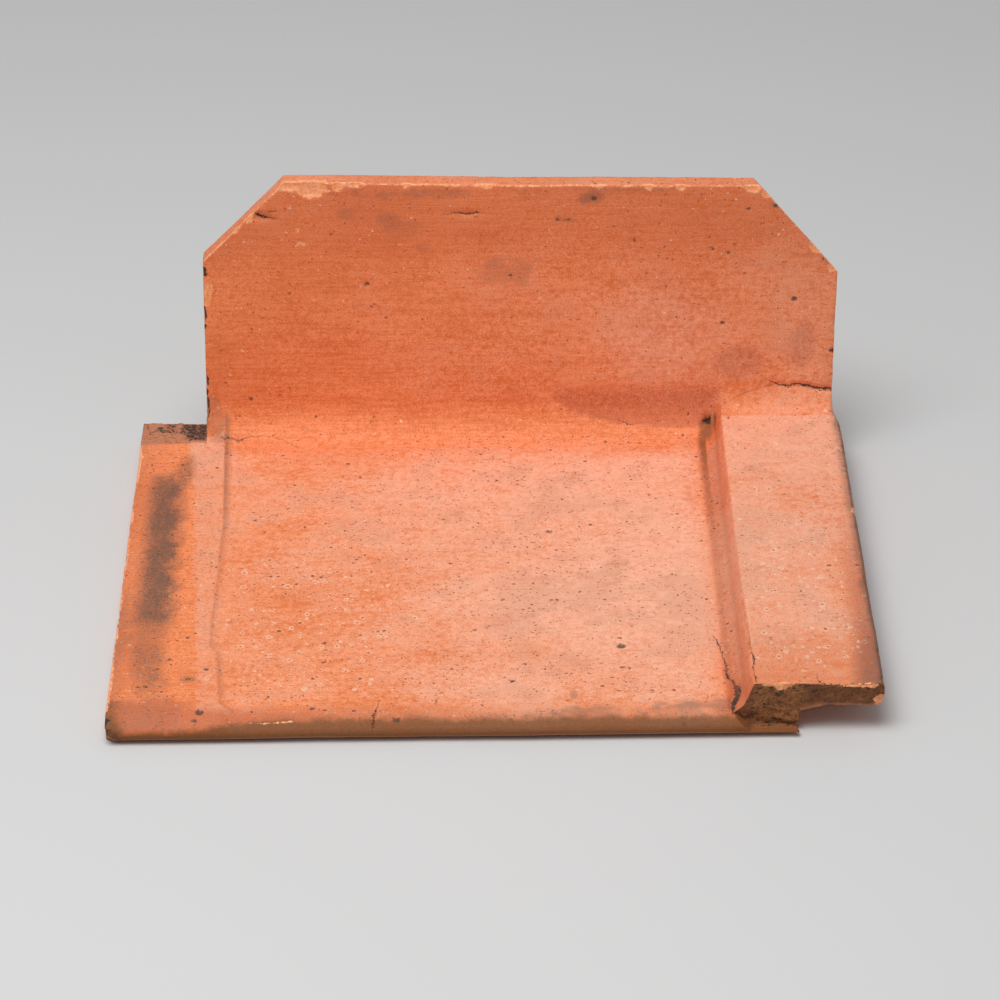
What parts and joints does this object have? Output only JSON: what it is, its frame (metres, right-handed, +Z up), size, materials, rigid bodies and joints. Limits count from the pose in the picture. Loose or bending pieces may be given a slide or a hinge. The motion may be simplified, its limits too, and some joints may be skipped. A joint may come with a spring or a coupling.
{
  "type": "clay roof tile",
  "caption": "Terracotta roof tile with a shallow pan, a raised lap flange, a round nose and a clipped upstand along its back.",
  "frame": {"origin": "middle of the footprint, on the flat face that the tile lies on", "axes": "+X along the row of tiles, towards the raised flange; +Y from the round nose to the upstand; +Z up"},
  "size_m": [0.458, 0.389, 0.1925],
  "materials": {
    "terracotta": "fired orange-red clay, matt, weathered, with a pale bloom on the pan and soot on the left strip"
  },
  "bodies": {
    "root": {"tile": "terracotta"}
  },
  "joints": []
}
